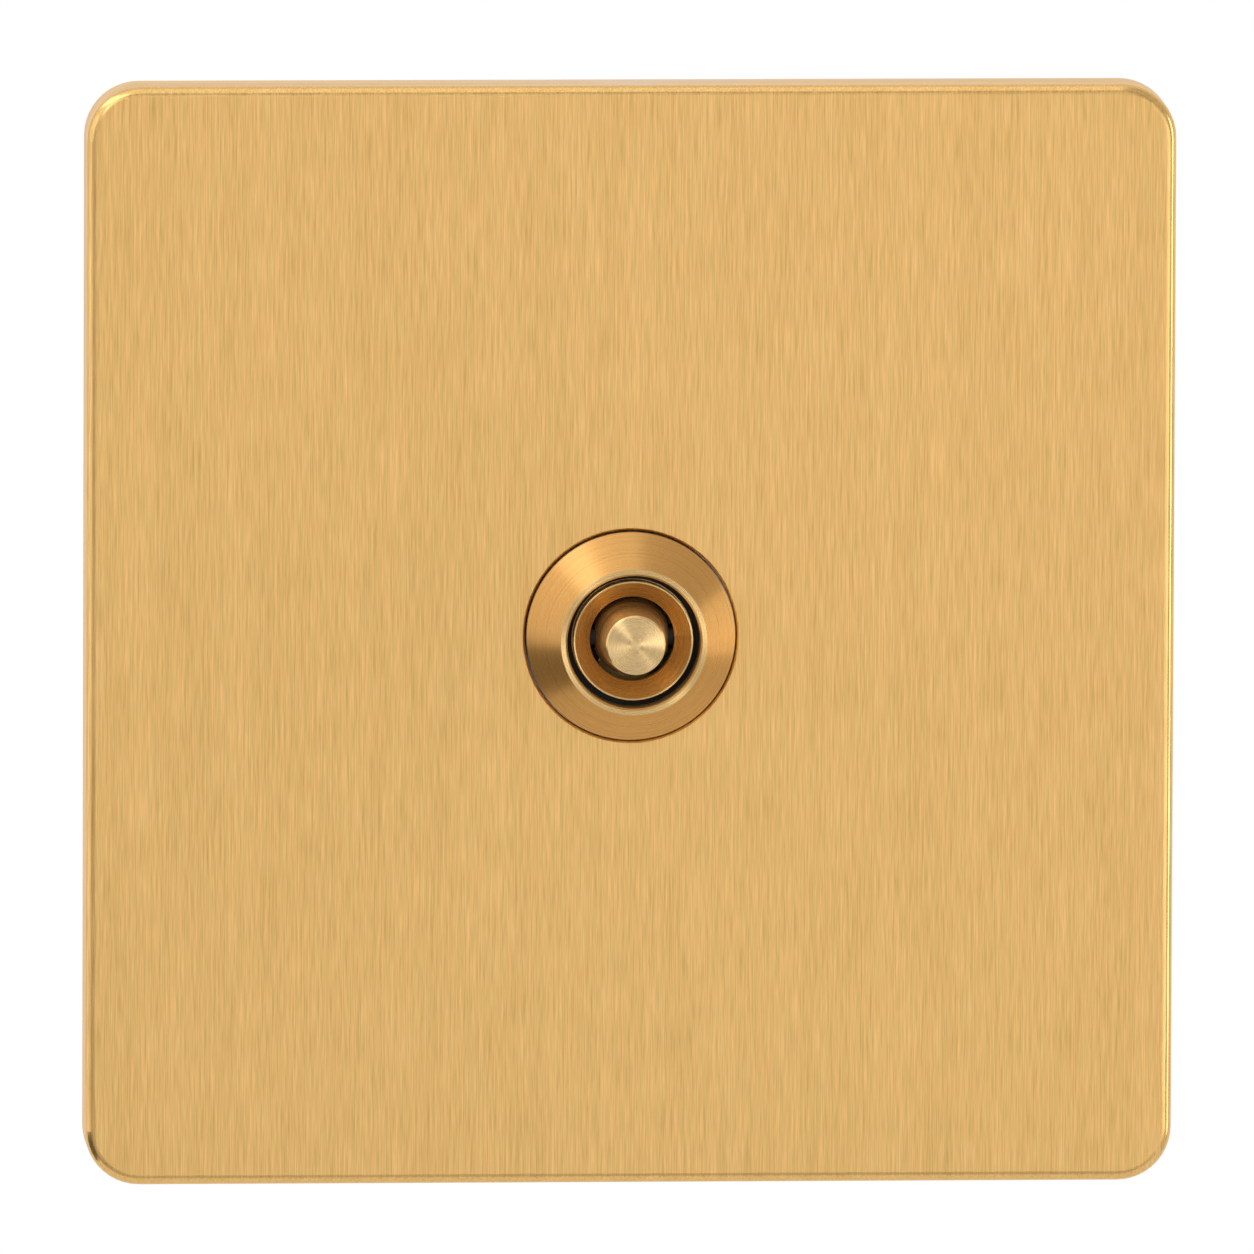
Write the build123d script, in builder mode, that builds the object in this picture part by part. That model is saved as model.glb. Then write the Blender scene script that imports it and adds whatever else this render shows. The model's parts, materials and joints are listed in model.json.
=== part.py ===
from build123d import *
from math import acos, cos, degrees, radians, sin, tan
import os

os.makedirs("parts", exist_ok=True)

# A single-gang toggle light switch with a screwless cover, in millimetres.
# The wall is the plane y = 0, the front looks along -Y and the lever's axis is the line x = z = 0.
# A height is the distance in front of the wall, so what lies behind the wall has a negative height.

# Cover plate
PLATE_WIDTH = 87.0
PLATE_HEIGHT = 88.2
PLATE_STAND = 5.0
PLATE_SHEET = 1.2
PLATE_CORNER = 4.35
PLATE_EDGE_ROUND = 0.8
SHADOW_GAP = 0.16
HOLE_EDGE_CHAMFER = 0.15

# Moulded insert bonded into the cover
INSERT_WEB = 1.0
INSERT_RIM = 1.2
INSERT_REAR = 0.6
INSERT_BORE_GAP = 2.2
HOOK_WIDTH = 8.0
HOOK_PLACE = 22.0
HOOK_REACH = 0.65
HOOK_FLAT = 0.15
HOOK_BASE = 0.65

# Pressed mounting frame
FRAME_GAP = 0.2
FRAME_DEPTH = 2.4
FRAME_SHEET = 1.2
FRAME_EDGE_BEVEL = 0.8
FIXING_SPACING = 60.3
FIXING_HOLE_R = 2.0
DIMPLE_FLOOR_R = 4.6
DIMPLE_SLOPE = 45.0
SCREW_WINDOW_GAP = 0.6
WINDOW_LOW = 0.5
WINDOW_HIGH = 1.7
WINDOW_SIDE_GAP = 0.5

# Bezel, washers and threaded bush
BEZEL_OUTER_R = 8.34
BEZEL_RIM_WIDTH = 0.52
BEZEL_RIM_CHAMFER = 0.15
BEZEL_RISE = 4.5
BEZEL_EDGE_RISE = 0.3
BEZEL_LIP = 2.4
THREAD_GAP = 0.05
THREAD_HOLE_GAP = 0.1
THREAD_LEAD = 0.3
BUSH_SWING_GAP = 0.22
BUSH_WALL = 1.9
BUSH_FLANGE_GAP = 0.2
BUSH_FLANGE = 1.4
BORE_RISE = 0.6
NOSE_R = 4.77
NOSE_GAP = 0.56
NOSE_DROP = 1.1
NOSE_RIM = 0.12
THROAT_GAP = 0.3
FUNNEL_SLOPE = 50.0
DUST_WASHER = 0.4
DUST_WASHER_GAP = 0.1
WASHER_SHEET = 0.5
WASHER_EDGE = 0.25
WASHER_TEETH = 8
WASHER_NOTCH_WIDTH = 1.0
WASHER_NOTCH_DEPTH = 0.8

# Lever and its pivot
PIVOT_HEIGHT = 5.2
PIN_R = 1.0
PIN_GAP = 0.03
PIN_END_GAP = 0.2
PIN_CHAMFER = 0.15
LEVER_THROW = 11.0
LEVER_REACH = 6.2
TIP_R = 2.37
TIP_CHAMFER = 0.12
SHANK_R = 2.67
TRUNK_R = 3.1
TRUNK_REACH = 7.0
TRUNK_CHAMFER = 0.4

# Plunger and spring inside the lever
PLUNGER_R = 1.3
PLUNGER_GAP = 0.05
PLUNGER_BORE_DEPTH = 5.0
PLUNGER_GUIDE = 2.6
PLUNGER_NOSE = 2.4
CUP_R = 0.95
CUP_DEPTH = 3.2
SPRING_R = 0.7
SPRING_WIRE_R = 0.12
SPRING_TURNS = 4.0
SPRING_WIRE_SIDES = 4
SPRING_END_GAP = 0.01

# Rocker and contacts
ROCKER_THROW = 5.0
ROCKER_GAP = 0.05
ROCKER_WIDTH = 4.0
ROCKER_SHEET = 0.9
ROCKER_BOSS = 1.8
ROCKER_BOSS_HALF = 1.5
ROCKER_END_GAP = 1.2
TIP_INSET = 1.5
MOVING_TIP_R = 1.4
MOVING_TIP = 0.6
FIXED_TIP_R = 1.6
FIXED_TIP = 0.7
CONTACT_GAP = 0.03
FULCRUM_R = 0.6
FULCRUM_GAP = 0.03
FULCRUM_STEM = 0.9

# Terminals and their screws
STRIP_SHEET = 1.0
STRIP_WIDTH = 4.4
STRIP_MARGIN = 0.4
BLOCK_WIDTH = 6.0
BLOCK_LENGTH = 5.0
BLOCK_CHAMFER = 0.3
WIRE_R = 1.75
WIRE_FLOOR = 3.0
TERMINAL_SCREW_R = 1.75
TERMINAL_SCREW_GRIP = 2.3
TERMINAL_SCREW_OPEN = 3.2
TERMINAL_SCREW_TIP_GAP = 0.05
TERMINAL_HEAD_R = 2.7
TERMINAL_HEAD = 1.6
SLOT_WIDTH = 0.7
SLOT_DEPTH = 0.9
SLOT_ANGLE = 45.0
EARTH_X = -21.0
EARTH_Z = -20.0
EARTH_RIVET_R = 1.5

# Moulded switch module
MODULE_WIDTH = 25.0
MODULE_HEIGHT = 31.2
MODULE_CORNER = 2.0
MODULE_INNER_CORNER = 1.0
MODULE_WALL = 1.6
MODULE_FRONT_WALL = 2.0
MODULE_FLOOR = 2.0
MODULE_EDGE_CHAMFER = 0.5
NEST_WALL = 1.0
NEST_GAP = 0.1
NEST_FLANGE_GAP = 0.4
WIRE_ENTRY_GAP = 0.5
PEG_R = 1.2
PEG_GAP = 0.1
PEG_INSET = 4.0
CORNER_POST_R = 2.4
CORNER_POST_GAP = 1.9
BASE_SCREW_R = 1.1
BASE_SCREW_GRIP = 6.0
BASE_HEAD_R = 2.1
BASE_HEAD = 1.3
BASE_SLOT_DEPTH = 0.65
TOWER_WALL = 0.9
TOWER_GAP = 0.25
TOWER_COVER = 0.5

# Margin for picking an edge or a corner by its radius
PICK_MARGIN = 0.01

# Working planes: turned profiles have radius and height, side profiles have height and Z.
turning_plane = Plane(origin=(0, 0, 0), x_dir=(1, 0, 0), z_dir=(0, 0, -1))
side_plane = Plane(origin=(0, 0, 0), x_dir=(0, -1, 0), z_dir=(-1, 0, 0))

# Heights and radii that follow from the sizes above
plate_back = PLATE_STAND - PLATE_SHEET
plate_hole_r = BEZEL_OUTER_R + SHADOW_GAP
cavity_width = PLATE_WIDTH - 2 * PLATE_SHEET
cavity_height = PLATE_HEIGHT - 2 * PLATE_SHEET
cavity_corner = PLATE_CORNER - PLATE_SHEET
rim_inner_width = cavity_width - 2 * INSERT_RIM
rim_inner_height = cavity_height - 2 * INSERT_RIM
frame_width = rim_inner_width - 2 * FRAME_GAP
frame_height = rim_inner_height - 2 * FRAME_GAP
frame_corner = cavity_corner - INSERT_RIM - FRAME_GAP
frame_back = FRAME_DEPTH - FRAME_SHEET
dimple_spread = FRAME_SHEET * tan(radians(DIMPLE_SLOPE))
lever_sweep_r = TRUNK_R * cos(radians(LEVER_THROW)) + TRUNK_REACH * sin(radians(LEVER_THROW))
bush_bore_r = lever_sweep_r + BUSH_SWING_GAP
thread_r = bush_bore_r + BUSH_WALL
thread_hole_r = thread_r + THREAD_HOLE_GAP
bezel_hole_r = NOSE_R + NOSE_GAP
bezel_seat = FRAME_DEPTH + WASHER_SHEET
bezel_top = PLATE_STAND + BEZEL_RISE
bezel_shoulder = bezel_top - BEZEL_LIP
bush_front = bezel_shoulder - DUST_WASHER
nose_front = bezel_top - NOSE_DROP
funnel_r = NOSE_R - NOSE_RIM
throat_r = TRUNK_R + THROAT_GAP
funnel_floor = nose_front - (funnel_r - throat_r) * tan(radians(FUNNEL_SLOPE))
bore_front = PIVOT_HEIGHT + BORE_RISE
flange_front = frame_back - MODULE_FRONT_WALL
flange_rear = flange_front - BUSH_FLANGE
trunk_end = PIVOT_HEIGHT - TRUNK_REACH
plunger_bore_r = PLUNGER_R + PLUNGER_GAP
plunger_bore_floor = trunk_end + PLUNGER_BORE_DEPTH
plunger_top = trunk_end + PLUNGER_GUIDE
nose_height = trunk_end - PLUNGER_NOSE
cup_floor = plunger_top - CUP_DEPTH

# Wire blocks stand in nests against the housing's walls, and the rest fits between the nests.
module_inner_z = MODULE_HEIGHT / 2 - MODULE_WALL
module_inner_x = MODULE_WIDTH / 2 - MODULE_WALL
line_block_z = module_inner_z - NEST_GAP - BLOCK_LENGTH / 2
common_block_x = module_inner_x - NEST_GAP - BLOCK_LENGTH / 2
line_nest_start = line_block_z - BLOCK_LENGTH / 2 - NEST_GAP
common_nest_start = common_block_x - BLOCK_LENGTH / 2 - NEST_GAP
nest_width = BLOCK_WIDTH + 2 * (NEST_GAP + NEST_WALL)
bush_flange_r = line_nest_start - BUSH_FLANGE_GAP
peg_place = MODULE_HEIGHT / 2 - PEG_INSET

# Rocker: its arms rise by the throw, so each contact closes face to face.
rocker_front = nose_height - ROCKER_GAP
fulcrum_height = rocker_front - ROCKER_BOSS
throw_sin = sin(radians(ROCKER_THROW))
throw_cos = cos(radians(ROCKER_THROW))
arm_end_place = line_nest_start - ROCKER_END_GAP
rocker_arm = (arm_end_place - ROCKER_BOSS_HALF) / throw_cos
arm_end_rise = rocker_arm * throw_sin
tip_place = rocker_arm - TIP_INSET
tip_seat_height = rocker_front + tip_place * throw_sin - ROCKER_SHEET * throw_cos
tip_seat_place = ROCKER_BOSS_HALF + tip_place * throw_cos + ROCKER_SHEET * throw_sin
tip_face_lead = tip_seat_height - MOVING_TIP * throw_cos - fulcrum_height
tip_face_place = tip_seat_place + MOVING_TIP * throw_sin
closed_tip_height = fulcrum_height + tip_face_lead * throw_cos - tip_face_place * throw_sin
closed_tip_place = tip_face_lead * throw_sin + tip_face_place * throw_cos
fixed_tip_front = closed_tip_height - CONTACT_GAP
strip_front = fixed_tip_front - FIXED_TIP
strip_rear = strip_front - STRIP_SHEET

# Terminal blocks: wire bore, then the thread of the clamping screw behind it
wire_height = strip_front - WIRE_FLOOR - WIRE_R
block_rear = wire_height - WIRE_R - TERMINAL_SCREW_GRIP
screw_tip = wire_height - WIRE_R - TERMINAL_SCREW_TIP_GAP
screw_head_seat = block_rear - TERMINAL_SCREW_OPEN
screw_head_end = screw_head_seat - TERMINAL_HEAD
base_rear = block_rear - MODULE_FLOOR
tower_end = screw_head_end - TOWER_COVER
tower_hole_r = TERMINAL_HEAD_R + TOWER_GAP
tower_width = 2 * (tower_hole_r + TOWER_WALL)
earth_rear = frame_back - (strip_front - block_rear)
earth_wire_height = earth_rear + TERMINAL_SCREW_GRIP + WIRE_R
corner_post_x = module_inner_x - CORNER_POST_GAP
corner_post_z = module_inner_z - CORNER_POST_GAP
corner_posts = [(-corner_post_x, corner_post_z), (corner_post_x, -corner_post_z)]
fixing_places = [(-FIXING_SPACING / 2, 0), (FIXING_SPACING / 2, 0)]

# Pressed cover: a shallow tray with rounded front edges and the hole for the bezel
with BuildPart() as front_plate:
    with BuildSketch(Plane.XZ):
        RectangleRounded(PLATE_WIDTH, PLATE_HEIGHT, PLATE_CORNER)
    extrude(amount=PLATE_STAND)
    fillet(front_plate.faces().sort_by(Axis.Y)[0].edges(), PLATE_EDGE_ROUND)
    with BuildSketch(Plane.XZ):
        RectangleRounded(cavity_width, cavity_height, cavity_corner)
    extrude(amount=plate_back, mode=Mode.SUBTRACT)
    with BuildSketch(Plane.XZ):
        Circle(plate_hole_r)
    extrude(amount=PLATE_STAND, mode=Mode.SUBTRACT)
    hole_edges = front_plate.edges().filter_by(GeomType.CIRCLE)
    hole_edges = hole_edges.filter_by(lambda edge: abs(edge.radius - plate_hole_r) < PICK_MARGIN)
    chamfer(hole_edges.sort_by(Axis.Y)[0], HOLE_EDGE_CHAMFER)
front_plate.part.label = "front_plate"
export_step(front_plate.part, "parts/front_plate.step")

# Moulded insert: a web behind the cover's face, a rim inside its walls and four snap hooks
with BuildPart() as plate_insert:
    with BuildSketch(Plane.XZ.offset(INSERT_REAR)):
        RectangleRounded(cavity_width, cavity_height, cavity_corner)
    extrude(amount=plate_back - INSERT_REAR)
    with BuildSketch(Plane.XZ.offset(INSERT_REAR)):
        RectangleRounded(rim_inner_width, rim_inner_height, cavity_corner - INSERT_RIM)
    extrude(amount=plate_back - INSERT_WEB - INSERT_REAR, mode=Mode.SUBTRACT)
    with BuildSketch(Plane.XZ):
        Circle(plate_hole_r + INSERT_BORE_GAP)
        with Locations(*fixing_places):
            Circle(DIMPLE_FLOOR_R + dimple_spread + SCREW_WINDOW_GAP)
    extrude(amount=plate_back, mode=Mode.SUBTRACT)
    for end in (1, -1):
        for place in (HOOK_PLACE, -HOOK_PLACE):
            with BuildSketch(side_plane.offset(-place)):
                with BuildLine():
                    Polyline(
                        (HOOK_BASE, end * rim_inner_height / 2),
                        (WINDOW_HIGH - HOOK_FLAT, end * (rim_inner_height / 2 - HOOK_REACH)),
                        (WINDOW_HIGH, end * (rim_inner_height / 2 - HOOK_REACH)),
                        (WINDOW_HIGH, end * rim_inner_height / 2),
                        close=True,
                    )
                make_face()
            extrude(amount=HOOK_WIDTH / 2, both=True)
plate_insert.part.label = "plate_insert"
export_step(plate_insert.part, "parts/plate_insert.step")

# Mounting frame: a pressed tray whose two dimples bring the fixing holes down to the wall
with BuildPart() as mounting_frame:
    with BuildSketch(Plane.XZ):
        RectangleRounded(frame_width, frame_height, frame_corner)
    extrude(amount=FRAME_DEPTH)
    chamfer(mounting_frame.faces().sort_by(Axis.Y)[0].edges(), FRAME_EDGE_BEVEL)
    with BuildSketch(Plane.XZ):
        RectangleRounded(
            frame_width - 2 * FRAME_SHEET,
            frame_height - 2 * FRAME_SHEET,
            frame_corner - FRAME_SHEET,
        )
    extrude(amount=frame_back, mode=Mode.SUBTRACT)
    with BuildSketch(Plane.XZ):
        with Locations(*fixing_places):
            Circle(DIMPLE_FLOOR_R + dimple_spread)
    extrude(amount=frame_back, taper=-DIMPLE_SLOPE)
    with BuildSketch(Plane.XZ.offset(FRAME_DEPTH)):
        with Locations(*fixing_places):
            Circle(DIMPLE_FLOOR_R + dimple_spread)
    extrude(amount=-FRAME_SHEET, taper=DIMPLE_SLOPE, mode=Mode.SUBTRACT)
    with BuildSketch(Plane.XZ):
        Circle(thread_hole_r)
        with Locations(*fixing_places):
            Circle(FIXING_HOLE_R)
        with Locations((0, peg_place), (0, -peg_place)):
            Circle(PEG_R + PEG_GAP)
        with Locations((EARTH_X, EARTH_Z)):
            Circle(EARTH_RIVET_R)
    extrude(amount=FRAME_DEPTH, mode=Mode.SUBTRACT)
    for end in (1, -1):
        with BuildSketch(Plane.XZ.offset(WINDOW_LOW)):
            with Locations(
                (HOOK_PLACE, end * (frame_height - FRAME_SHEET) / 2),
                (-HOOK_PLACE, end * (frame_height - FRAME_SHEET) / 2),
            ):
                Rectangle(HOOK_WIDTH + 2 * WINDOW_SIDE_GAP, FRAME_SHEET)
        extrude(amount=WINDOW_HIGH - WINDOW_LOW, mode=Mode.SUBTRACT)
mounting_frame.part.label = "mounting_frame"
export_step(mounting_frame.part, "parts/mounting_frame.step")

# Toothed washer between the frame and the bezel
with BuildPart() as lock_washer:
    with BuildSketch(Plane.XZ.offset(FRAME_DEPTH)):
        Circle(BEZEL_OUTER_R - WASHER_EDGE)
        Circle(thread_hole_r, mode=Mode.SUBTRACT)
        with PolarLocations(thread_hole_r, WASHER_TEETH):
            Rectangle(2 * WASHER_NOTCH_DEPTH, WASHER_NOTCH_WIDTH, mode=Mode.SUBTRACT)
    extrude(amount=WASHER_SHEET)
lock_washer.part.label = "lock_washer"
export_step(lock_washer.part, "parts/lock_washer.step")

# Bezel: a turned ring nut whose cone rises through the cover's hole
with BuildPart() as bezel:
    with BuildSketch(turning_plane) as bezel_profile:
        with BuildLine():
            Polyline(
                (thread_r + THREAD_GAP, bezel_seat),
                (BEZEL_OUTER_R, bezel_seat),
                (BEZEL_OUTER_R, PLATE_STAND + BEZEL_EDGE_RISE),
                (bezel_hole_r + BEZEL_RIM_WIDTH, bezel_top),
                (bezel_hole_r, bezel_top),
                (bezel_hole_r, bezel_shoulder),
                (thread_r + THREAD_GAP, bezel_shoulder),
                close=True,
            )
        make_face()
        rim_corner = bezel_profile.vertices().group_by(Axis.Y)[-1].sort_by(Axis.X)[0]
        chamfer(rim_corner, BEZEL_RIM_CHAMFER)
    revolve(axis=Axis.Y)
bezel.part.label = "bezel"
export_step(bezel.part, "parts/bezel.step")

# Threaded bush: clamps frame and housing between its flange and the bezel, and holds the pin.
# Its countersunk nose shows inside the bezel.
with BuildPart() as threaded_bush:
    with BuildSketch(turning_plane):
        with BuildLine():
            Polyline(
                (bush_bore_r, flange_rear),
                (bush_flange_r, flange_rear),
                (bush_flange_r, flange_front),
                (thread_r, flange_front),
                (thread_r, bush_front - THREAD_LEAD),
                (thread_r - THREAD_LEAD, bush_front),
                (NOSE_R, bush_front),
                (NOSE_R, nose_front),
                (funnel_r, nose_front),
                (throat_r, funnel_floor),
                (throat_r, bore_front),
                (bush_bore_r, bore_front),
                close=True,
            )
        make_face()
    revolve(axis=Axis.Y)
    with BuildSketch(Plane.YZ):
        with Locations((-PIVOT_HEIGHT, 0)):
            Circle(PIN_R)
    extrude(amount=thread_r, both=True, mode=Mode.SUBTRACT)
threaded_bush.part.label = "threaded_bush"
export_step(threaded_bush.part, "parts/threaded_bush.step")

# Dust washer between the bush's step and the bezel's lip
with BuildPart() as dust_washer:
    with BuildSketch(Plane.XZ.offset(bush_front)):
        Circle(thread_r - THREAD_LEAD)
        Circle(NOSE_R + DUST_WASHER_GAP, mode=Mode.SUBTRACT)
    extrude(amount=DUST_WASHER)
dust_washer.part.label = "dust_washer"
export_step(dust_washer.part, "parts/dust_washer.step")

# Pivot pin, pressed across the bush
with BuildPart() as pivot_pin:
    with BuildSketch(Plane.YZ):
        with Locations((-PIVOT_HEIGHT, 0)):
            Circle(PIN_R)
    extrude(amount=thread_r - PIN_END_GAP, both=True)
    chamfer(pivot_pin.edges().filter_by(GeomType.CIRCLE), PIN_CHAMFER)
pivot_pin.part.label = "pivot_pin"
export_step(pivot_pin.part, "parts/pivot_pin.step")

# Lever: tapered shank, ball about the pivot and bored trunk, turned in one piece
lever_tip = PIVOT_HEIGHT + LEVER_REACH
ball_turn = degrees(acos(SHANK_R / TRUNK_R))
with BuildPart() as toggle_lever:
    with BuildSketch(turning_plane) as lever_profile:
        with BuildLine():
            ball = CenterArc((0, PIVOT_HEIGHT), TRUNK_R, 0, ball_turn)
            Polyline(ball @ 1, (TIP_R, lever_tip), (0, lever_tip), (0, trunk_end), (TRUNK_R, trunk_end), ball @ 0)
        make_face()
        chamfer(lever_profile.vertices().group_by(Axis.Y)[-1].sort_by(Axis.X)[-1], TIP_CHAMFER)
        chamfer(lever_profile.vertices().group_by(Axis.Y)[0].sort_by(Axis.X)[-1], TRUNK_CHAMFER)
    revolve(axis=Axis.Y)
    with BuildSketch(Plane.YZ):
        with Locations((-PIVOT_HEIGHT, 0)):
            Circle(PIN_R + PIN_GAP)
    extrude(amount=TRUNK_R, both=True, mode=Mode.SUBTRACT)
    with BuildSketch(Plane.XZ.offset(trunk_end)):
        Circle(plunger_bore_r)
    extrude(amount=PLUNGER_BORE_DEPTH, mode=Mode.SUBTRACT)
toggle_lever.part.label = "toggle_lever"
export_step(toggle_lever.part, "parts/toggle_lever.step")

# Plunger: a moulded cup with a round nose, sliding in the lever's bore
with BuildPart() as plunger:
    with BuildSketch(turning_plane):
        with BuildLine():
            Line((0, nose_height), (0, cup_floor))
            Line((0, cup_floor), (CUP_R, cup_floor))
            Line((CUP_R, cup_floor), (CUP_R, plunger_top))
            Line((CUP_R, plunger_top), (PLUNGER_R, plunger_top))
            Line((PLUNGER_R, plunger_top), (PLUNGER_R, nose_height + PLUNGER_R))
            RadiusArc((PLUNGER_R, nose_height + PLUNGER_R), (0, nose_height), PLUNGER_R)
        make_face()
    revolve(axis=Axis.Y)
plunger.part.label = "plunger"
export_step(plunger.part, "parts/plunger.step")

# Coil spring from the floor of the lever's bore to the floor of the plunger's cup
spring_rear = cup_floor + SPRING_WIRE_R + SPRING_END_GAP
spring_front = plunger_bore_floor - SPRING_WIRE_R - SPRING_END_GAP
spring_length = spring_front - spring_rear
with BuildPart() as plunger_spring:
    with BuildLine() as coil:
        Helix(
            pitch=spring_length / SPRING_TURNS,
            height=spring_length,
            radius=SPRING_R,
            center=(0, -spring_rear, 0),
            direction=(0, -1, 0),
        )
    with BuildSketch(Plane(origin=coil.line @ 0, z_dir=coil.line % 0)):
        RegularPolygon(radius=SPRING_WIRE_R, side_count=SPRING_WIRE_SIDES)
    sweep()
plunger_spring.part.label = "plunger_spring"
export_step(plunger_spring.part, "parts/plunger_spring.step")

# Rocker: a bent strip whose centre boss has a groove that rides on the fulcrum
with BuildPart() as rocker_contact:
    with BuildSketch(side_plane):
        with BuildLine():
            Polyline(
                (fulcrum_height, 0),
                (rocker_front, 0),
                (rocker_front, ROCKER_BOSS_HALF),
                (rocker_front + arm_end_rise, arm_end_place),
                (
                    rocker_front + arm_end_rise - ROCKER_SHEET * throw_cos,
                    arm_end_place + ROCKER_SHEET * throw_sin,
                ),
                (rocker_front - ROCKER_SHEET * throw_cos, ROCKER_BOSS_HALF + ROCKER_SHEET * throw_sin),
                (fulcrum_height, ROCKER_BOSS_HALF),
                close=True,
            )
        make_face()
        mirror(about=Plane.XZ)
    extrude(amount=ROCKER_WIDTH / 2, both=True)
    with BuildSketch(side_plane):
        with Locations((fulcrum_height, 0)):
            Circle(FULCRUM_R + FULCRUM_GAP)
    extrude(amount=ROCKER_WIDTH, both=True, mode=Mode.SUBTRACT)
rocker_contact.part.label = "rocker_contact"
export_step(rocker_contact.part, "parts/rocker_contact.step")

# Common terminal: strip with the fulcrum ridge, running to its wire block at the side
with BuildPart() as common_terminal:
    with BuildSketch(side_plane):
        with Locations((fulcrum_height, 0)):
            Circle(FULCRUM_R)
        with Locations(((fulcrum_height + strip_rear) / 2, 0)):
            Rectangle(fulcrum_height - strip_rear, FULCRUM_STEM)
    extrude(amount=STRIP_WIDTH / 2, both=True)
    with BuildSketch(Plane.XZ.offset(strip_rear)):
        with Locations(((common_block_x - STRIP_WIDTH / 2) / 2, 0)):
            Rectangle(common_block_x + STRIP_WIDTH / 2, STRIP_WIDTH)
    extrude(amount=STRIP_SHEET)
    with BuildSketch(Plane.XZ.offset(strip_front)):
        with Locations((common_block_x, 0)):
            Rectangle(BLOCK_LENGTH, BLOCK_WIDTH)
    extrude(amount=block_rear - strip_front)
    block_rim = common_terminal.faces().sort_by(Axis.Y)[-1].edges()
    chamfer(block_rim, BLOCK_CHAMFER)
    with BuildSketch(Plane.YZ.offset(common_block_x)):
        with Locations((-wire_height, 0)):
            Circle(WIRE_R)
    extrude(amount=BLOCK_LENGTH / 2, both=True, mode=Mode.SUBTRACT)
    with BuildSketch(Plane.XZ.offset(block_rear)):
        with Locations((common_block_x, 0)):
            Circle(TERMINAL_SCREW_R)
    extrude(amount=wire_height - block_rear, mode=Mode.SUBTRACT)
common_terminal.part.label = "common_terminal"
export_step(common_terminal.part, "parts/common_terminal.step")

# Upper and lower sides: line terminal, fixed tip and moving tip
for side_name, side in (("upper", 1), ("lower", -1)):
    strip_start = closed_tip_place - FIXED_TIP_R - STRIP_MARGIN
    with BuildPart() as line_terminal:
        with BuildSketch(Plane.XZ.offset(strip_rear)):
            with Locations((0, side * (strip_start + line_block_z) / 2)):
                Rectangle(STRIP_WIDTH, line_block_z - strip_start)
        extrude(amount=STRIP_SHEET)
        with BuildSketch(Plane.XZ.offset(strip_front)):
            with Locations((0, side * line_block_z)):
                Rectangle(BLOCK_WIDTH, BLOCK_LENGTH)
        extrude(amount=block_rear - strip_front)
        block_rim = line_terminal.faces().sort_by(Axis.Y)[-1].edges()
        chamfer(block_rim, BLOCK_CHAMFER)
        with BuildSketch(Plane.XY.offset(side * line_block_z)):
            with Locations((0, -wire_height)):
                Circle(WIRE_R)
        extrude(amount=BLOCK_LENGTH / 2, both=True, mode=Mode.SUBTRACT)
        with BuildSketch(Plane.XZ.offset(block_rear)):
            with Locations((0, side * line_block_z)):
                Circle(TERMINAL_SCREW_R)
        extrude(amount=wire_height - block_rear, mode=Mode.SUBTRACT)
    line_terminal.part.label = f"{side_name}_terminal"
    export_step(line_terminal.part, f"parts/{side_name}_terminal.step")

    with BuildPart() as fixed_tip:
        with BuildSketch(Plane.XZ.offset(strip_front)):
            with Locations((0, side * closed_tip_place)):
                Circle(FIXED_TIP_R)
        extrude(amount=FIXED_TIP)
    fixed_tip.part.label = f"{side_name}_fixed_tip"
    export_step(fixed_tip.part, f"parts/{side_name}_fixed_tip.step")

    tip_plane = Plane(
        origin=(0, -tip_seat_height, side * tip_seat_place),
        x_dir=(1, 0, 0),
        z_dir=(0, throw_cos, side * throw_sin),
    )
    with BuildPart() as moving_tip:
        with BuildSketch(tip_plane):
            Circle(MOVING_TIP_R)
        extrude(amount=MOVING_TIP)
    moving_tip.part.label = f"{side_name}_moving_tip"
    export_step(moving_tip.part, f"parts/{side_name}_moving_tip.step")

# Earth terminal: the same block, riveted through the frame
with BuildPart() as earth_terminal:
    with BuildSketch(Plane.XZ.offset(earth_rear)):
        with Locations((EARTH_X, EARTH_Z)):
            Rectangle(BLOCK_WIDTH, BLOCK_LENGTH)
    extrude(amount=frame_back - earth_rear)
    chamfer(earth_terminal.faces().sort_by(Axis.Y)[-1].edges(), BLOCK_CHAMFER)
    with BuildSketch(Plane.XZ.offset(frame_back)):
        with Locations((EARTH_X, EARTH_Z)):
            Circle(EARTH_RIVET_R)
    extrude(amount=FRAME_SHEET)
    with BuildSketch(Plane.XY.offset(EARTH_Z)):
        with Locations((EARTH_X, -earth_wire_height)):
            Circle(WIRE_R)
    extrude(amount=BLOCK_LENGTH / 2, both=True, mode=Mode.SUBTRACT)
    with BuildSketch(Plane.XZ.offset(earth_rear)):
        with Locations((EARTH_X, EARTH_Z)):
            Circle(TERMINAL_SCREW_R)
    extrude(amount=earth_wire_height - earth_rear, mode=Mode.SUBTRACT)
earth_terminal.part.label = "earth_terminal"
export_step(earth_terminal.part, "parts/earth_terminal.step")

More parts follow.
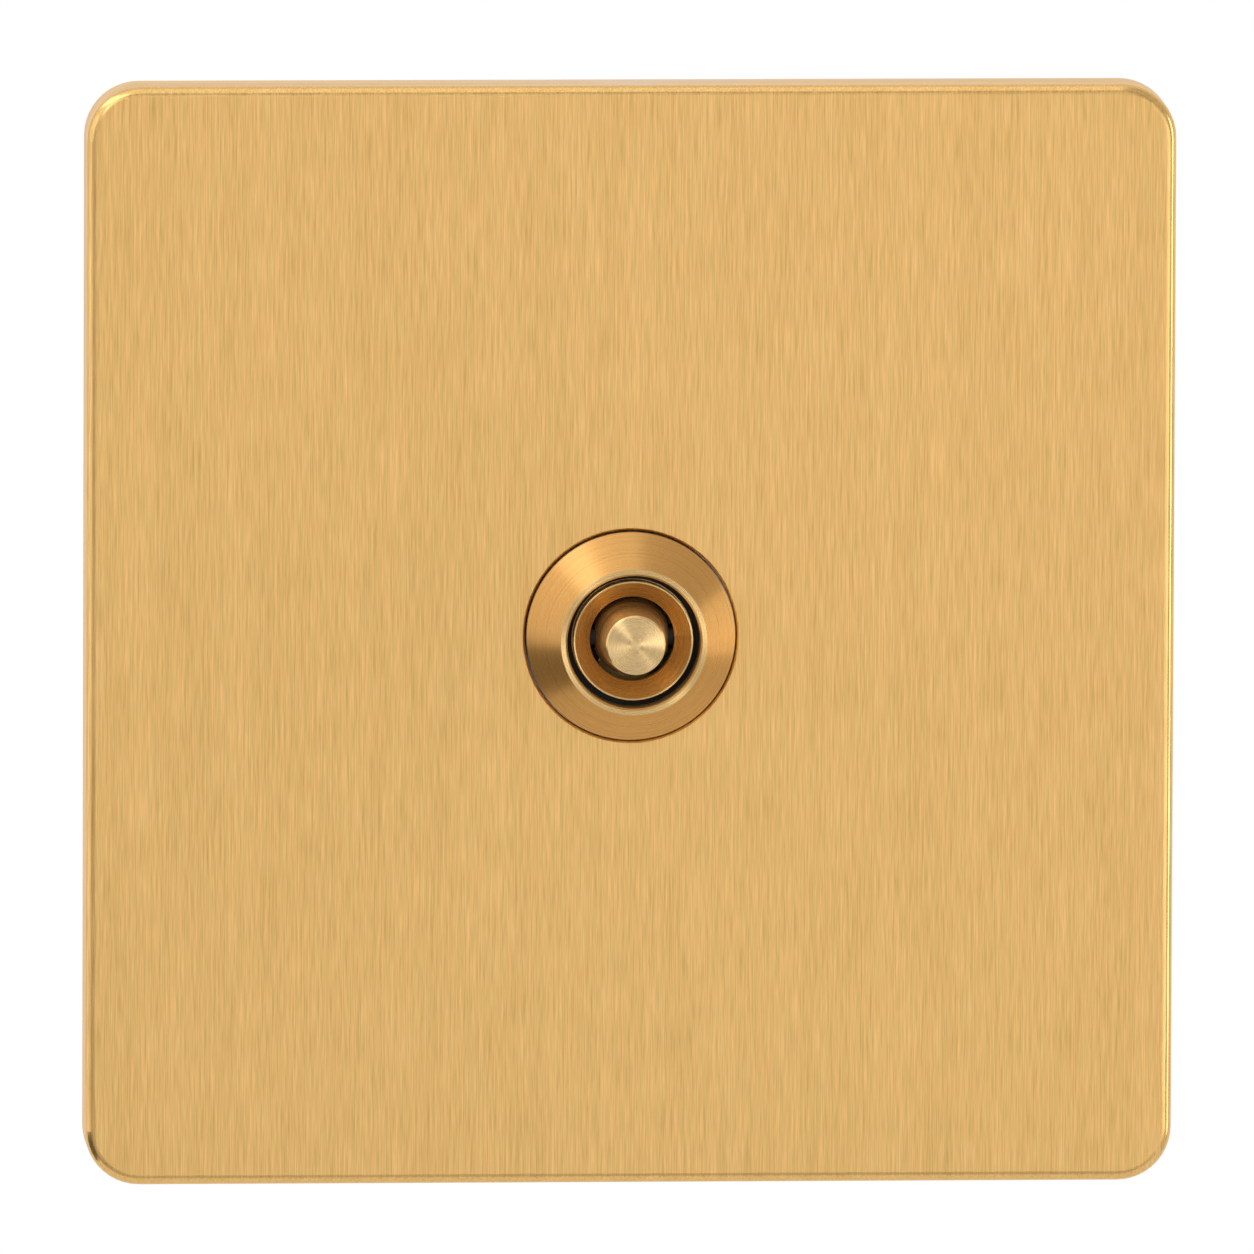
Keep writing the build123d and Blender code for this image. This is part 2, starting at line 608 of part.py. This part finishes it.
# Clamping screws of the four wire blocks, opened to take the wires
clamp_places = (
    ("upper_terminal_screw", 0, line_block_z, block_rear),
    ("lower_terminal_screw", 0, -line_block_z, block_rear),
    ("common_terminal_screw", common_block_x, 0, block_rear),
    ("earth_screw", EARTH_X, EARTH_Z, earth_rear),
)
for screw_name, screw_x, screw_z, seat in clamp_places:
    with BuildPart() as clamp_screw:
        with BuildSketch(Plane.XZ.offset(seat - TERMINAL_SCREW_OPEN)):
            with Locations((screw_x, screw_z)):
                Circle(TERMINAL_SCREW_R)
        extrude(amount=screw_tip - screw_head_seat)
        with BuildSketch(Plane.XZ.offset(seat - TERMINAL_SCREW_OPEN)):
            with Locations((screw_x, screw_z)):
                Circle(TERMINAL_HEAD_R)
        extrude(amount=-TERMINAL_HEAD)
        with BuildSketch(Plane.XZ.offset(seat - TERMINAL_SCREW_OPEN - TERMINAL_HEAD)):
            with Locations((screw_x, screw_z)):
                Rectangle(2 * TERMINAL_HEAD_R, SLOT_WIDTH, rotation=SLOT_ANGLE)
        extrude(amount=SLOT_DEPTH, mode=Mode.SUBTRACT)
    clamp_screw.part.label = screw_name
    export_step(clamp_screw.part, f"parts/{screw_name}.step")

# Housing: a deep box with a nest for each terminal block and two posts for the base screws
with BuildPart() as module_body:
    with BuildSketch(Plane.XZ.offset(block_rear)):
        RectangleRounded(MODULE_WIDTH, MODULE_HEIGHT, MODULE_CORNER)
    extrude(amount=frame_back - block_rear)
    chamfer(module_body.faces().sort_by(Axis.Y)[0].edges(), MODULE_EDGE_CHAMFER)
    with BuildSketch(Plane.XZ.offset(block_rear)):
        RectangleRounded(2 * module_inner_x, 2 * module_inner_z, MODULE_INNER_CORNER)
    extrude(amount=flange_front - block_rear, mode=Mode.SUBTRACT)
    with BuildSketch(Plane.XZ.offset(block_rear)):
        for side in (1, -1):
            with Locations((0, side * (line_nest_start + module_inner_z) / 2)):
                Rectangle(nest_width, module_inner_z - line_nest_start)
        with Locations(*corner_posts):
            Circle(CORNER_POST_R)
    extrude(amount=flange_front - block_rear)
    with BuildSketch(Plane.XZ.offset(block_rear)):
        with Locations(((common_nest_start + module_inner_x) / 2, 0)):
            Rectangle(module_inner_x - common_nest_start, nest_width)
    extrude(amount=flange_rear - NEST_FLANGE_GAP - block_rear)
    with BuildSketch(Plane.XZ.offset(block_rear)):
        for side in (1, -1):
            with Locations((0, side * (line_nest_start + module_inner_z) / 2)):
                Rectangle(BLOCK_WIDTH + 2 * NEST_GAP, module_inner_z - line_nest_start)
        with Locations(((common_nest_start + module_inner_x) / 2, 0)):
            Rectangle(module_inner_x - common_nest_start, BLOCK_WIDTH + 2 * NEST_GAP)
    extrude(amount=strip_front - block_rear, mode=Mode.SUBTRACT)
    with BuildSketch(Plane.XZ.offset(block_rear)):
        with Locations(*corner_posts):
            Circle(BASE_SCREW_R)
    extrude(amount=BASE_SCREW_GRIP, mode=Mode.SUBTRACT)
    with BuildSketch(Plane.XZ.offset(frame_back)):
        Circle(thread_hole_r)
    extrude(amount=-MODULE_FRONT_WALL, mode=Mode.SUBTRACT)
    for side in (1, -1):
        with BuildSketch(Plane.XY.offset(side * (module_inner_z + MODULE_WALL / 2))):
            with Locations((0, -wire_height)):
                Circle(WIRE_R + WIRE_ENTRY_GAP)
        extrude(amount=MODULE_WALL / 2, both=True, mode=Mode.SUBTRACT)
    with BuildSketch(Plane.YZ.offset(module_inner_x + MODULE_WALL / 2)):
        with Locations((-wire_height, 0)):
            Circle(WIRE_R + WIRE_ENTRY_GAP)
    extrude(amount=MODULE_WALL / 2, both=True, mode=Mode.SUBTRACT)
    with BuildSketch(Plane.XZ.offset(frame_back)):
        with Locations((0, peg_place), (0, -peg_place)):
            Circle(PEG_R)
    extrude(amount=FRAME_SHEET)
module_body.part.label = "module_body"
export_step(module_body.part, "parts/module_body.step")

# Rear cover of the housing: screw towers behind, and a post that backs the fulcrum
tower_places = [(0, line_block_z), (0, -line_block_z), (common_block_x, 0)]
with BuildPart() as module_base:
    with BuildSketch(Plane.XZ.offset(base_rear)):
        RectangleRounded(MODULE_WIDTH, MODULE_HEIGHT, MODULE_CORNER)
    extrude(amount=MODULE_FLOOR)
    with BuildSketch(Plane.XZ.offset(block_rear)):
        Rectangle(STRIP_WIDTH, STRIP_WIDTH)
    extrude(amount=strip_rear - block_rear)
    with BuildSketch(Plane.XZ.offset(tower_end)):
        with Locations(*tower_places):
            Rectangle(tower_width, tower_width)
    extrude(amount=base_rear - tower_end)
    with BuildSketch(Plane.XZ.offset(tower_end)):
        with Locations(*tower_places):
            Circle(tower_hole_r)
    extrude(amount=block_rear - tower_end, mode=Mode.SUBTRACT)
    with BuildSketch(Plane.XZ.offset(base_rear)):
        with Locations(*corner_posts):
            Circle(BASE_SCREW_R)
    extrude(amount=MODULE_FLOOR, mode=Mode.SUBTRACT)
module_base.part.label = "module_base"
export_step(module_base.part, "parts/module_base.step")

# Screws that close the housing
for screw_name, (screw_x, screw_z) in zip(("upper_base_screw", "lower_base_screw"), corner_posts):
    with BuildPart() as base_screw:
        with BuildSketch(Plane.XZ.offset(base_rear)):
            with Locations((screw_x, screw_z)):
                Circle(BASE_SCREW_R)
        extrude(amount=MODULE_FLOOR + BASE_SCREW_GRIP)
        with BuildSketch(Plane.XZ.offset(base_rear)):
            with Locations((screw_x, screw_z)):
                Circle(BASE_HEAD_R)
        extrude(amount=-BASE_HEAD)
        with BuildSketch(Plane.XZ.offset(base_rear - BASE_HEAD)):
            with Locations((screw_x, screw_z)):
                Rectangle(2 * BASE_HEAD_R, SLOT_WIDTH, rotation=SLOT_ANGLE)
        extrude(amount=BASE_SLOT_DEPTH, mode=Mode.SUBTRACT)
    base_screw.part.label = screw_name
    export_step(base_screw.part, f"parts/{screw_name}.step")
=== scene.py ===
import json
from math import cos, pi, radians, sin

import bpy
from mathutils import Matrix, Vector

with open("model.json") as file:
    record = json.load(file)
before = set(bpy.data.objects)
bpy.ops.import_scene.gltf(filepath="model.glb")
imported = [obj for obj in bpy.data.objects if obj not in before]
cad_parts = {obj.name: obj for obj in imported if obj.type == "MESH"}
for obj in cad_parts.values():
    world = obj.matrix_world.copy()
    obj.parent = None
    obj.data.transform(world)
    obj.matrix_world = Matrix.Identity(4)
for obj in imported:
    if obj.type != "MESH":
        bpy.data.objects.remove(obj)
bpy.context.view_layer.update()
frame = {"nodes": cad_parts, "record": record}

MM = 0.001

# Camera: a long lens far away, a little above and to the left of the cover's axis
VIEW_DISTANCE = 2.8
VIEW_FROM_LEFT = radians(3.6)
VIEW_FROM_ABOVE = radians(7.0)
VIEW_ROLL = radians(0.22)
SENSOR_WIDTH_MM = 36.0
FRAME_WIDTH = 0.10004
AIM = Vector((-0.0003, -0.005, 0.0007))

# Floor, kept below the picture
FLOOR_DROP = 0.30
FLOOR_SIZE = 0.64
FLOOR_DARK = (0.80, 0.80, 0.79)
FLOOR_LIGHT = (0.84, 0.84, 0.83)
FLOOR_CLOUDS = ((6.0, 6.0, 6.0), 3.0)
FLOOR_ROUGHNESS = 0.7

# Lamps: name, place in metres, width and height, radiance seen in a reflection
LAMPS = (
    ("window_lamp", (-0.62, -0.22, 0.84), (1.60, 0.40), 1.2),
    ("right_lamp", (0.95, -0.25, 0.02), (0.25, 0.60), 3.0),
)

# The studio's walls by direction round the lever's axis, from 0 and 1 down over 0.25 left and 0.5 up
SIDE_TONES = (
    (0.00, 0.42), (0.02, 0.34), (0.05, 0.13), (0.21, 0.13), (0.23, 1.00), (0.38, 1.00),
    (0.52, 0.95), (0.54, 0.55), (0.78, 0.50), (0.84, 0.68), (0.95, 0.68), (1.00, 0.42),
)
WALL_GAIN = 1.35

# The wall ahead, with two strip lights that are seen as streaks in the turned tip
STRIP_TONES = (
    (0.00, 0.0), (0.345, 0.0), (0.375, 1.0), (0.405, 0.0),
    (0.745, 0.0), (0.78, 1.0), (0.815, 0.0), (1.00, 0.0),
)
STRIP_GAIN = 6.5
FRONT_TONE = 0.56

# Where the side walls give way to the wall ahead, and to the white behind the object
FRONT_BEGINS, FRONT_ENDS = 0.66, 0.92
BEHIND_BEGINS, BEHIND_ENDS = 0.0, 0.25

# A noise below is written as its stretch along x, y and z and its detail.
# It stays between these two values nearly everywhere, so a roughness is spread over them.
NOISE_LOW, NOISE_HIGH = 0.25, 0.75

# Sheet brass: three noises drawn out along the grain, and the share of each in it
GRAIN_FINE = ((11000.0, 11000.0, 320.0), 2.0)
GRAIN_LINES = ((5200.0, 5200.0, 110.0), 3.0)
GRAIN_BROAD = ((700.0, 700.0, 24.0), 2.0)
FINE_SHARE = 0.55
LINES_SHARE = 0.33
BROAD_SHARE = 0.12
SHEET_COLOURS = ((0.36, (0.585, 0.356, 0.112)), (0.64, (0.835, 0.522, 0.203)))
SHEET_ROUGHNESS = (0.34, 0.42)
SHEET_ANISOTROPY = 0.6
EDGE_ROUGHNESS = 0.17
GRAIN_BUMP = 0.25
GRAIN_DEPTH = 0.004 * MM

# How far the plate's grain reaches, by how squarely its surface faces the front
BRUSHED_SHARE = ((0.0, 1.0), (0.06, 1.0), (0.16, 0.0), (0.90, 0.0), (0.99, 1.0))

# Turned brass: its rings, and the smoother, faintly domed tip of the lever, painted paler as a painted
# highlight
LEVER_TIP_Y = min(corner[1] for corner in frame["nodes"]["toggle_lever"].bound_box)
TIP_FACE_DEPTH = 0.05 * MM
TIP_DOME = 14.0
TIP_RING_SHARE = 0.03
RINGS = ((9000.0, 9000.0, 1.0), 2.0)
RING_DEPTH = 0.0004 * MM
TURNED_COLOURS = ((0.3, (0.70, 0.46, 0.185)), (0.7, (0.80, 0.55, 0.245)))
# The tip's colours, paler than the turned colours: a painted highlight
TIP_HIGHLIGHT_COLOURS = ((0.3, (0.75, 0.515, 0.24)), (0.7, (0.78, 0.545, 0.26)))
TURNED_ROUGHNESS = (0.24, 0.32)
TURNED_ANISOTROPY = 0.93
QUARTER_TURN = 0.25

# Plain metals and mouldings: where the noise gives the two colours, then noises, roughness and bumps
COLOUR_PLACES = (0.3, 0.7)
METAL_SPOTS = ((2500.0, 2500.0, 2500.0), 4.0)
METAL_CLOUDS = ((220.0, 220.0, 220.0), 3.0)
METAL_ROUGHNESS_SPREAD = 0.06
METAL_BUMP = 0.12
MOULDED_GRAIN = ((3200.0, 3200.0, 3200.0), 2.0)
MOULDED_CLOUDS = ((150.0, 150.0, 150.0), 2.0)
MOULDED_ROUGHNESS_SPREAD = 0.05
MOULDED_BUMP = 0.3
SURFACE_DEPTH = 0.01 * MM

# Slot: darker and lighter colour, roughness
METALS = {
    "zinc_steel": ((0.52, 0.54, 0.57), (0.68, 0.70, 0.72), 0.32),
    "steel": ((0.42, 0.42, 0.43), (0.56, 0.56, 0.57), 0.34),
    "black_steel": ((0.020, 0.020, 0.022), (0.035, 0.035, 0.038), 0.42),
    "contact_brass": ((0.58, 0.40, 0.15), (0.74, 0.54, 0.24), 0.34),
    "silver": ((0.78, 0.77, 0.74), (0.88, 0.87, 0.85), 0.25),
}

# Slot: darker and lighter colour, roughness, specular level
MOULDINGS = {
    "black_moulding": ((0.012, 0.012, 0.013), (0.022, 0.021, 0.020), 0.60, 0.15),
    "white_moulding": ((0.62, 0.60, 0.55), (0.70, 0.68, 0.63), 0.42, 0.45),
    "nylon": ((0.72, 0.70, 0.62), (0.80, 0.78, 0.70), 0.38, 0.45),
}


def aim_at(obj, target):
    """Turns an object so that its -Z looks at the target, with its +Y up."""
    obj.rotation_euler = (Vector(target) - obj.location).to_track_quat("-Z", "Y").to_euler()


def make_camera():
    camera_data = bpy.data.cameras.new("camera")
    camera_data.sensor_width = SENSOR_WIDTH_MM
    camera_data.lens = SENSOR_WIDTH_MM * VIEW_DISTANCE / FRAME_WIDTH
    camera = bpy.data.objects.new("camera", camera_data)
    bpy.context.scene.collection.objects.link(camera)
    towards = Vector(
        (
            -sin(VIEW_FROM_LEFT) * cos(VIEW_FROM_ABOVE),
            -cos(VIEW_FROM_LEFT) * cos(VIEW_FROM_ABOVE),
            sin(VIEW_FROM_ABOVE),
        )
    )
    camera.location = AIM + VIEW_DISTANCE * towards
    aim_at(camera, AIM)
    camera.rotation_euler.rotate_axis("Z", VIEW_ROLL)
    bpy.context.scene.camera = camera


def make_lamps():
    for name, place, (width, height), radiance in LAMPS:
        lamp_data = bpy.data.lights.new(name, "AREA")
        lamp_data.shape = "RECTANGLE"
        lamp_data.size = width
        lamp_data.size_y = height
        lamp_data.energy = radiance * width * height * pi
        lamp = bpy.data.objects.new(name, lamp_data)
        lamp.location = place
        bpy.context.scene.collection.objects.link(lamp)
        aim_at(lamp, (0.0, 0.0, 0.0))


class Shading:
    """A small wrapper round a node tree: makes nodes and links them in one call."""

    def __init__(self, tree):
        self.tree = tree
        tree.nodes.clear()

    def node(self, kind, inputs=None, **settings):
        made = self.tree.nodes.new(kind)
        for key, value in settings.items():
            setattr(made, key, value)
        for key, value in (inputs or {}).items():
            self.put(made.inputs[key], value)
        return made

    def put(self, socket, value):
        """Links a socket of another node, or sets a plain value."""
        if isinstance(value, bpy.types.NodeSocket):
            self.tree.links.new(value, socket)
        else:
            socket.default_value = value

    def math(self, operation, *values):
        made = self.tree.nodes.new("ShaderNodeMath")
        made.operation = operation
        for socket, value in zip(made.inputs, values):
            self.put(socket, value)
        return made.outputs[0]

    def ramp(self, fac, stops):
        made = self.tree.nodes.new("ShaderNodeValToRGB")
        elements = made.color_ramp.elements
        while len(elements) < len(stops):
            elements.new(0.5)
        for element, (place, colour) in zip(elements, stops):
            element.position = place
            element.color = (*colour, 1.0)
        self.put(made.inputs["Fac"], fac)
        return made.outputs["Color"]

    def mix(self, factor, low, high):
        return self.node("ShaderNodeMix", {"Factor": factor, 2: low, 3: high}).outputs[0]

    def split(self, vector):
        return self.node("ShaderNodeSeparateXYZ", {0: vector}).outputs

    def coordinates(self, kind):
        return self.node("ShaderNodeTexCoord").outputs[kind]

    def weighted_sum(self, *terms):
        """Adds some values, each times its share."""
        total, *others = (self.math("MULTIPLY", value, share) for value, share in terms)
        for other in others:
            total = self.math("ADD", total, other)
        return total

    def noise(self, vector, stretch, detail):
        scaled = self.node("ShaderNodeVectorMath", {0: vector, 1: stretch}, operation="MULTIPLY")
        made = self.node(
            "ShaderNodeTexNoise",
            {"Vector": scaled.outputs[0], "Scale": 1.0, "Detail": detail, "Roughness": 0.5},
        )
        return made.outputs["Fac"]

    def spread(self, noise, low, high):
        """Maps a noise to a value between low and high."""
        made = self.node(
            "ShaderNodeMapRange",
            {"Value": noise, "From Min": NOISE_LOW, "From Max": NOISE_HIGH, "To Min": low, "To Max": high},
        )
        return made.outputs["Result"]

    def soft_step(self, value, begins, ends):
        made = self.node(
            "ShaderNodeMapRange",
            {"Value": value, "From Min": begins, "From Max": ends},
            interpolation_type="SMOOTHSTEP",
        )
        return made.outputs["Result"]


def grey_stops(tones):
    return tuple((place, (tone, tone, tone)) for place, tone in tones)


def colour_stops(dark, light):
    return tuple(zip(COLOUR_PLACES, (dark, light)))


def make_world():
    """White behind the object and to the camera; the room in front is bright ahead and dim at its sides."""
    world = bpy.data.worlds.new("studio")
    bpy.context.scene.world = world
    world.use_nodes = True
    shade = Shading(world.node_tree)
    x, y, z = shade.split(shade.coordinates("Generated"))
    ahead = shade.math("MULTIPLY", y, -1.0)
    turn = shade.math("MULTIPLY_ADD", shade.math("ARCTAN2", x, z), 0.5 / pi, 0.5)
    side = shade.math("MULTIPLY", shade.ramp(turn, grey_stops(SIDE_TONES)), WALL_GAIN)
    front = shade.math("MULTIPLY_ADD", shade.ramp(turn, grey_stops(STRIP_TONES)), STRIP_GAIN, FRONT_TONE)
    room = shade.mix(shade.soft_step(ahead, FRONT_BEGINS, FRONT_ENDS), side, front)
    seen = shade.mix(shade.soft_step(y, BEHIND_BEGINS, BEHIND_ENDS), room, 1.0)
    to_camera = shade.node("ShaderNodeLightPath").outputs["Is Camera Ray"]
    colour = shade.mix(to_camera, seen, 1.0)
    background = shade.node("ShaderNodeBackground", {"Color": colour, "Strength": 1.0})
    shade.node("ShaderNodeOutputWorld", {"Surface": background.outputs[0]})


def material(name):
    made = bpy.data.materials.new(name)
    made.use_nodes = True
    shade = Shading(made.node_tree)
    shader = shade.node("ShaderNodeBsdfPrincipled")
    shade.node("ShaderNodeOutputMaterial", {"Surface": shader.outputs[0]})
    return made, shade, shader


def bump(shade, shader, height, strength, distance):
    made = shade.node("ShaderNodeBump", {"Height": height, "Strength": strength, "Distance": distance})
    shade.put(shader.inputs["Normal"], made.outputs[0])


def brushed_brass():
    """Sheet brass with a fine vertical grain on its face and flat sides, and polished rounded edges."""
    made, shade, shader = material("brushed_brass")
    place = shade.coordinates("Object")
    fine = shade.noise(place, *GRAIN_FINE)
    lines = shade.noise(place, *GRAIN_LINES)
    broad = shade.noise(place, *GRAIN_BROAD)
    grain = shade.weighted_sum((fine, FINE_SHARE), (lines, LINES_SHARE), (broad, BROAD_SHARE))
    shade.put(shader.inputs["Base Color"], shade.ramp(grain, SHEET_COLOURS))

    facing = shade.math("MULTIPLY", shade.split(shade.coordinates("Normal"))[1], -1.0)
    brushed = shade.ramp(facing, grey_stops(BRUSHED_SHARE))
    roughness = shade.mix(brushed, EDGE_ROUGHNESS, shade.spread(grain, *SHEET_ROUGHNESS))
    shade.put(shader.inputs["Roughness"], roughness)
    shader.inputs["Metallic"].default_value = 1.0
    shade.put(shader.inputs["Anisotropic"], shade.math("MULTIPLY", brushed, SHEET_ANISOTROPY))
    tangent = shade.node("ShaderNodeTangent", direction_type="RADIAL", axis="Z")
    shade.put(shader.inputs["Tangent"], tangent.outputs[0])
    bump(shade, shader, fine, GRAIN_BUMP, GRAIN_DEPTH)
    return made


def turned_brass():
    """Brass with fine turned rings about the lever's axis; the lever's tip is painted paler, a painted
    highlight.
    """
    made, shade, shader = material("turned_brass")
    x, y, z = shade.split(shade.coordinates("Object"))
    radius_squared = shade.weighted_sum((x, x), (z, z))
    radius = shade.math("SQRT", radius_squared)
    ring_place = shade.node("ShaderNodeCombineXYZ", {0: radius, 1: y, 2: 0.0}).outputs[0]
    rings = shade.noise(ring_place, *RINGS)
    on_tip = shade.math("LESS_THAN", y, LEVER_TIP_Y + TIP_FACE_DEPTH)
    plain_turned_tone = shade.ramp(rings, TURNED_COLOURS)
    # On the tip the colour goes over to a paler ramp: a painted highlight.
    tip_highlight = shade.ramp(rings, TIP_HIGHLIGHT_COLOURS)
    tone = shade.node("ShaderNodeMix", {"Factor": on_tip, 6: plain_turned_tone, 7: tip_highlight}, data_type="RGBA")
    shade.put(shader.inputs["Base Color"], tone.outputs[2])
    shade.put(shader.inputs["Roughness"], shade.spread(rings, *TURNED_ROUGHNESS))
    shader.inputs["Metallic"].default_value = 1.0
    shader.inputs["Anisotropic"].default_value = TURNED_ANISOTROPY
    shader.inputs["Anisotropic Rotation"].default_value = QUARTER_TURN
    tangent = shade.node("ShaderNodeTangent", direction_type="RADIAL", axis="Y")
    shade.put(shader.inputs["Tangent"], tangent.outputs[0])
    dome = shade.math("MULTIPLY", shade.math("MULTIPLY", radius_squared, -TIP_DOME), on_tip)
    ring_depth = shade.math("MULTIPLY_ADD", on_tip, (TIP_RING_SHARE - 1.0) * RING_DEPTH, RING_DEPTH)
    height = shade.math("MULTIPLY_ADD", rings, ring_depth, dome)
    # This height is in metres already, so the bump takes it as it is.
    bump(shade, shader, height, 1.0, 1.0)
    return made


def plain_metal(name, dark, light, roughness):
    made, shade, shader = material(name)
    place = shade.coordinates("Object")
    spots = shade.noise(place, *METAL_SPOTS)
    clouds = shade.noise(place, *METAL_CLOUDS)
    mixed = shade.weighted_sum((spots, 0.5), (clouds, 0.5))
    low, high = roughness - METAL_ROUGHNESS_SPREAD, roughness + METAL_ROUGHNESS_SPREAD
    shade.put(shader.inputs["Base Color"], shade.ramp(mixed, colour_stops(dark, light)))
    shade.put(shader.inputs["Roughness"], shade.spread(mixed, low, high))
    shader.inputs["Metallic"].default_value = 1.0
    bump(shade, shader, spots, METAL_BUMP, SURFACE_DEPTH)
    return made


def moulded_plastic(name, dark, light, roughness, specular):
    made, shade, shader = material(name)
    place = shade.coordinates("Object")
    grain = shade.noise(place, *MOULDED_GRAIN)
    clouds = shade.noise(place, *MOULDED_CLOUDS)
    low, high = roughness - MOULDED_ROUGHNESS_SPREAD, roughness + MOULDED_ROUGHNESS_SPREAD
    shade.put(shader.inputs["Base Color"], shade.ramp(clouds, colour_stops(dark, light)))
    shade.put(shader.inputs["Roughness"], shade.spread(grain, low, high))
    shader.inputs["Specular IOR Level"].default_value = specular
    bump(shade, shader, grain, MOULDED_BUMP, SURFACE_DEPTH)
    return made


def make_materials():
    made = {"brushed_brass": brushed_brass(), "turned_brass": turned_brass()}
    made.update({slot: plain_metal(slot, *look) for slot, look in METALS.items()})
    made.update({slot: moulded_plastic(slot, *look) for slot, look in MOULDINGS.items()})
    return made


def dress_nodes(materials):
    """Gives each carried-over solid the material of its slot in the record."""
    for row in frame["record"]["subparts"]:
        node_materials = frame["nodes"][row["node"]].data.materials
        node_materials.clear()
        node_materials.append(materials[row["material_slot"]])


def make_floor():
    floor_mesh = bpy.data.meshes.new("floor")
    half = FLOOR_SIZE / 2
    corners = [(-half, -half, 0), (half, -half, 0), (half, half, 0), (-half, half, 0)]
    floor_mesh.from_pydata(corners, [], [(0, 1, 2, 3)])
    floor = bpy.data.objects.new("floor", floor_mesh)
    floor.location.z = -FLOOR_DROP
    bpy.context.scene.collection.objects.link(floor)
    made, shade, shader = material("pale_floor")
    clouds = shade.noise(shade.coordinates("Object"), *FLOOR_CLOUDS)
    shade.put(shader.inputs["Base Color"], shade.ramp(clouds, colour_stops(FLOOR_DARK, FLOOR_LIGHT)))
    shader.inputs["Roughness"].default_value = FLOOR_ROUGHNESS
    floor_mesh.materials.append(made)


make_camera()
make_lamps()
make_world()
make_floor()
dress_nodes(make_materials())
bpy.context.scene.view_settings.view_transform = "Standard"
